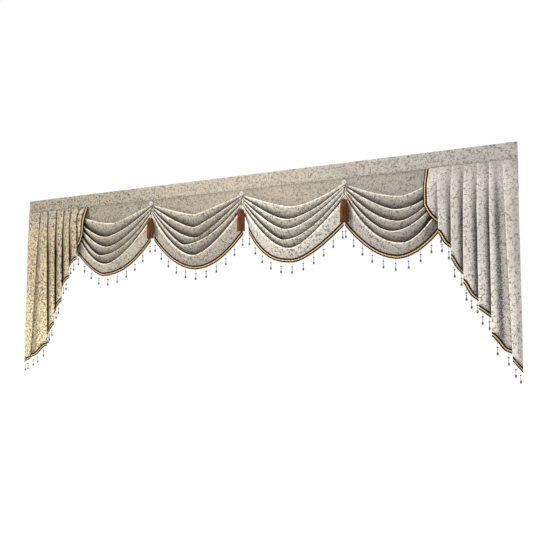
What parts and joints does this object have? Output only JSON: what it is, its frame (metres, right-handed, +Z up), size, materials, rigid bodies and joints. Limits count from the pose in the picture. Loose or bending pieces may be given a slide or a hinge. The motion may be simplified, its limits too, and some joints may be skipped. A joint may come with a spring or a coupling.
{
  "type": "swag and tail drape",
  "caption": "Window valance of overlapping draped swags between two stepped, pleated tails, on a flat heading band, edged with braid and bead fringe and hung with tassels.",
  "frame": {"origin": "middle of the heading band's top edge, on its back plane, where the drape is held", "axes": "+X along the width, to the right as seen from the room; +Y towards the wall; +Z up; the front faces -Y"},
  "size_m": [3.0071, 0.0528, 1.0593],
  "materials": {
    "drape_cloth": "beige-taupe jacquard with a small broken dark scroll figure, soft satin sheen",
    "braid": "woven gold braid with a twisted centre line and dark brown edges",
    "glass_beads": "clear and grey-green cut glass, polished",
    "knob_pearl": "moulded pearl white, glossy",
    "tassel_cord": "thin dark brown twisted cord, matt",
    "tassel_yarn": "reddish-brown rayon yarn locks with a soft sheen"
  },
  "bodies": {
    "root": {"heading_band": "drape_cloth", "base_panel": "drape_cloth", "swag_1": "drape_cloth", "swag_2": "drape_cloth", "swag_3": "drape_cloth", "swag_4": "drape_cloth", "swag_fringe_1": "braid", "swag_fringe_2": "braid", "swag_fringe_3": "braid", "swag_fringe_4": "braid", "tail_left": "drape_cloth", "tail_right": "drape_cloth", "tail_fringe_left": "braid", "tail_fringe_right": "braid", "tassel_knob_1": "knob_pearl", "tassel_cord_1": "tassel_cord", "tassel_bead_1": "glass_beads", "tassel_skirt_1": "tassel_yarn", "tassel_knob_2": "knob_pearl", "tassel_cord_2": "tassel_cord", "tassel_bead_2": "glass_beads", "tassel_skirt_2": "tassel_yarn", "tassel_knob_3": "knob_pearl", "tassel_cord_3": "tassel_cord", "tassel_bead_3": "glass_beads", "tassel_skirt_3": "tassel_yarn"}
  },
  "joints": []
}
